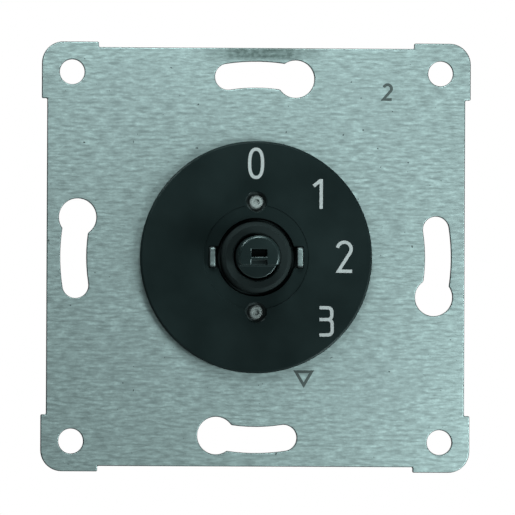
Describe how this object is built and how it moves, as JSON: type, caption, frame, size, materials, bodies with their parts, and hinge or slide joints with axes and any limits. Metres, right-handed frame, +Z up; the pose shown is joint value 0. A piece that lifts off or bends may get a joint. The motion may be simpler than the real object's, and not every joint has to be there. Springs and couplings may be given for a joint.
{
  "type": "rotary step switch insert",
  "caption": "Flush-mounted rotary step switch without its knob: square steel support plate, black scale disc, D-shaped shaft and moulded contact housing with screw terminals.",
  "frame": {"origin": "centre of the shaft on the rear face of the support plate, the plane of the wall", "axes": "+X right and +Z up as seen from the front, +Y into the wall; the shaft points to -Y"},
  "size_m": [0.071, 0.035, 0.071],
  "materials": {
    "plate_steel": "galvanised, fine rolling streaks",
    "scale_plastic": "moulded, semi-gloss black",
    "rivet_steel": "plated",
    "housing_plastic": "moulded, matt black",
    "base_plastic": "moulded, light grey thermoset",
    "shaft_plastic": "moulded, satin black",
    "wheel_plastic": "moulded, natural",
    "spring_steel": "bright spring steel",
    "spring_bronze": "bright bronze strip",
    "contact_silver": "silver",
    "terminal_brass": "bright brass",
    "terminal_steel": "zinc plated"
  },
  "bodies": {
    "base": {"mounting_plate": "plate_steel", "scale_disc": "scale_plastic", "assembly_rivets": "rivet_steel", "front_housing": "housing_plastic", "rear_housing": "base_plastic", "thrust_washer": "spring_steel", "detent_spring": "spring_steel", "contact_spring_1": "spring_bronze", "contact_spring_2": "spring_bronze", "contact_spring_3": "spring_bronze", "spring_contacts": "contact_silver", "bar_contacts": "contact_silver", "spring_rivets": "terminal_brass", "terminal_bar_1": "terminal_brass", "terminal_bar_2": "terminal_brass", "terminal_bar_3": "terminal_brass", "common_bar": "terminal_brass"},
    "rotor": {"shaft": "shaft_plastic", "detent_wheel": "wheel_plastic", "cam_wheel": "wheel_plastic", "shaft_circlip": "spring_steel"},
    "screw_1": {"terminal_screw_1": "terminal_steel"},
    "cage_1": {"terminal_cage_1": "terminal_steel"},
    "screw_2": {"terminal_screw_2": "terminal_steel"},
    "cage_2": {"terminal_cage_2": "terminal_steel"},
    "screw_3": {"terminal_screw_3": "terminal_steel"},
    "cage_3": {"terminal_cage_3": "terminal_steel"},
    "screw_common": {"terminal_screw_common": "terminal_steel"},
    "cage_common": {"terminal_cage_common": "terminal_steel"}
  },
  "joints": [
    {"name": "shaft_turn", "type": "hinge", "parent": "base", "child": "rotor", "pos_m": [0, 0, 0], "axis": [0, 1, 0], "range_deg": [0, 135], "deforming": ["detent_spring", "contact_spring_1", "contact_spring_2", "contact_spring_3"]},
    {"name": "screw_1_turn", "type": "hinge", "parent": "base", "child": "screw_1", "pos_m": [-0.0146, 0, 0.0146], "axis": [0, -1, 0], "range_deg": [0, 1800]},
    {"name": "cage_1_travel", "type": "slide", "parent": "base", "child": "cage_1", "axis": [0, 1, 0], "range_m": [0, 0.003]},
    {"name": "screw_2_turn", "type": "hinge", "parent": "base", "child": "screw_2", "pos_m": [-0.0146, 0, -0.0146], "axis": [0, -1, 0], "range_deg": [0, 1800]},
    {"name": "cage_2_travel", "type": "slide", "parent": "base", "child": "cage_2", "axis": [0, 1, 0], "range_m": [0, 0.003]},
    {"name": "screw_3_turn", "type": "hinge", "parent": "base", "child": "screw_3", "pos_m": [0.0146, 0, 0.0146], "axis": [0, -1, 0], "range_deg": [0, 1800]},
    {"name": "cage_3_travel", "type": "slide", "parent": "base", "child": "cage_3", "axis": [0, 1, 0], "range_m": [0, 0.003]},
    {"name": "screw_common_turn", "type": "hinge", "parent": "base", "child": "screw_common", "pos_m": [0.0146, 0, -0.0146], "axis": [0, -1, 0], "range_deg": [0, 1800]},
    {"name": "cage_common_travel", "type": "slide", "parent": "base", "child": "cage_common", "axis": [0, 1, 0], "range_m": [0, 0.003]}
  ],
  "couplings": [
    {"joint": "screw_1_turn", "follows": "cage_1_travel", "rad_per_m": 10472},
    {"joint": "screw_2_turn", "follows": "cage_2_travel", "rad_per_m": 10472},
    {"joint": "screw_3_turn", "follows": "cage_3_travel", "rad_per_m": 10472},
    {"joint": "screw_common_turn", "follows": "cage_common_travel", "rad_per_m": 10472}
  ]
}
